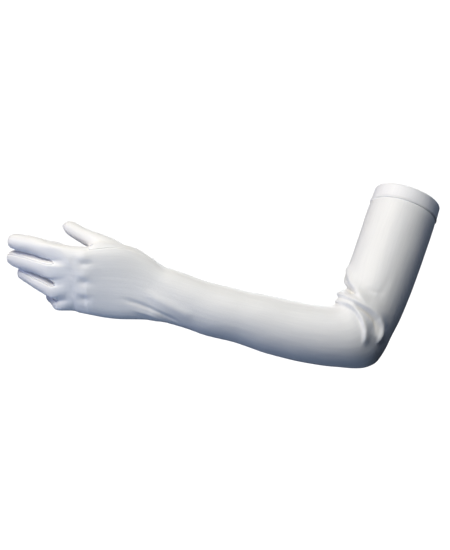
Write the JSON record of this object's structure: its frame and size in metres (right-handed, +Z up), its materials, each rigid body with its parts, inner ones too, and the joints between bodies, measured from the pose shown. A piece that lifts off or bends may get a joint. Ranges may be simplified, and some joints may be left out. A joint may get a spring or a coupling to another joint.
{
  "type": "long dress glove",
  "caption": "over-elbow dress glove in stretch satin, set-in thumb, fourchettes between the fingers and a doubled hem, in its worn form on a bent left arm",
  "frame": {"origin": "middle of the arm opening, at the top edge of the hem", "axes": "+X from the fingertips towards the elbow, +Y towards the palm side, +Z up; the back of the hand faces -Y and the thumb is up"},
  "size_m": [0.4789, 0.1381, 0.2027],
  "materials": {
    "satin": "soft satin knit",
    "thumb_satin": "soft satin knit",
    "fourchette_satin": "soft satin knit",
    "hem_satin": "doubled satin knit"
  },
  "bodies": {
    "root": {"hand_and_sleeve": "satin", "thumb": "thumb_satin", "fourchette_index_middle": "fourchette_satin", "fourchette_middle_ring": "fourchette_satin", "fourchette_ring_little": "fourchette_satin", "hem_band": "hem_satin"}
  },
  "joints": []
}
